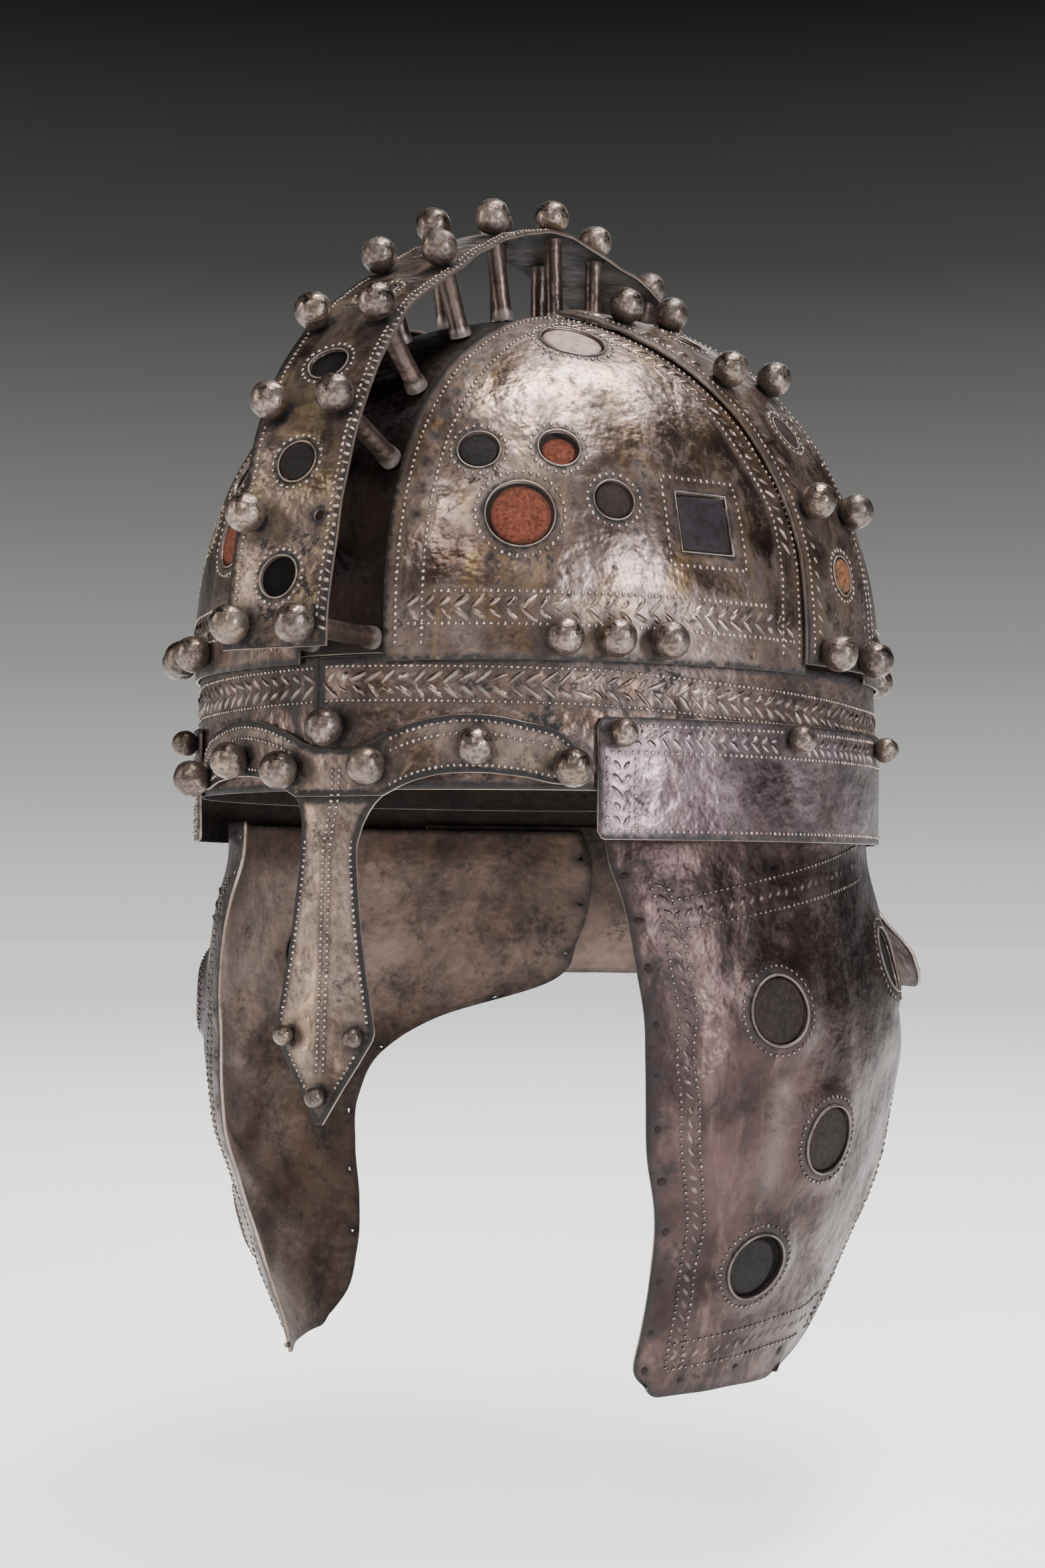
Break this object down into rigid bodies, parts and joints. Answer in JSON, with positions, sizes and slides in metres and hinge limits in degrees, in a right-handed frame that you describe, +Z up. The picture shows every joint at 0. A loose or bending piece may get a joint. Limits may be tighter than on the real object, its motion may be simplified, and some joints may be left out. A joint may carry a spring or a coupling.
{
  "type": "late roman cavalry helmet",
  "caption": "Ridge helmet of gilt silver sheet with a raised studded crest, nasal, cheek pieces and flared neck guard.",
  "frame": {"origin": "the head seat, in the middle of the bowl's opening at the brow band's height", "axes": "+Z up, the face looks towards -Y, the wearer's left is +X"},
  "size_m": [0.2358, 0.3257, 0.3659],
  "materials": {
    "tarnished_gilt_silver": "tarnished satin",
    "dark_ridge_metal": "matt, blackened",
    "grey_glass": "satin",
    "terracotta_paste": "matt",
    "amber_stone": "gloss",
    "pale_shell": "satin"
  },
  "bodies": {
    "root": {"band_disc_left": "grey_glass", "bowl_plate_front_left": "tarnished_gilt_silver", "bowl_plate_front_right": "tarnished_gilt_silver", "bowl_plate_rear_left": "tarnished_gilt_silver", "bowl_plate_rear_right": "tarnished_gilt_silver", "brow_band_left": "tarnished_gilt_silver", "brow_band_right": "tarnished_gilt_silver", "brown_disc_left": "grey_glass", "cabochon_left": "amber_stone", "cabochon_right": "amber_stone", "cheek_disc_lower_left": "grey_glass", "cheek_disc_middle_left": "grey_glass", "cheek_disc_upper_left": "grey_glass", "cheek_piece_left": "tarnished_gilt_silver", "cheek_piece_right": "tarnished_gilt_silver", "crest_disc_2": "grey_glass", "crest_disc_4": "grey_glass", "crest_disc_5": "grey_glass", "crest_disc_6": "grey_glass", "crest_post_01_left": "tarnished_gilt_silver", "crest_post_01_right": "tarnished_gilt_silver", "crest_post_02_right": "tarnished_gilt_silver", "crest_post_03_left": "tarnished_gilt_silver", "crest_post_03_right": "tarnished_gilt_silver", "crest_post_04_left": "tarnished_gilt_silver", "crest_post_04_right": "tarnished_gilt_silver", "crest_post_05_left": "tarnished_gilt_silver", "crest_post_05_right": "tarnished_gilt_silver", "crest_post_06_left": "tarnished_gilt_silver", "crest_post_06_right": "tarnished_gilt_silver", "crest_post_07_left": "tarnished_gilt_silver", "crest_post_07_right": "tarnished_gilt_silver", "crest_post_08_left": "tarnished_gilt_silver", "crest_post_08_right": "tarnished_gilt_silver", "crest_post_09_left": "tarnished_gilt_silver", "crest_post_09_right": "tarnished_gilt_silver", "crest_post_10_left": "tarnished_gilt_silver", "crest_post_10_right": "tarnished_gilt_silver", "crest_post_11_left": "tarnished_gilt_silver", "crest_post_11_right": "tarnished_gilt_silver", "crest_post_12_left": "tarnished_gilt_silver", "crest_post_12_right": "tarnished_gilt_silver", "crest_post_13_left": "tarnished_gilt_silver", "crest_post_13_right": "tarnished_gilt_silver", "crest_post_14_left": "tarnished_gilt_silver", "crest_post_14_right": "tarnished_gilt_silver", "crest_strap": "tarnished_gilt_silver", "ear_plate_left": "tarnished_gilt_silver", "ear_plate_right": "tarnished_gilt_silver", "grey_disc_left": "grey_glass", "large_disc_left": "terracotta_paste", "large_disc_right": "terracotta_paste", "nasal_plate": "tarnished_gilt_silver", "neck_guard": "tarnished_gilt_silver", "red_disc_left": "terracotta_paste", "ridge_strip": "dark_ridge_metal", "side_band_left": "tarnished_gilt_silver", "side_band_right": "tarnished_gilt_silver", "square_stone_left": "grey_glass", "top_disc_left": "pale_shell"}
  },
  "joints": []
}
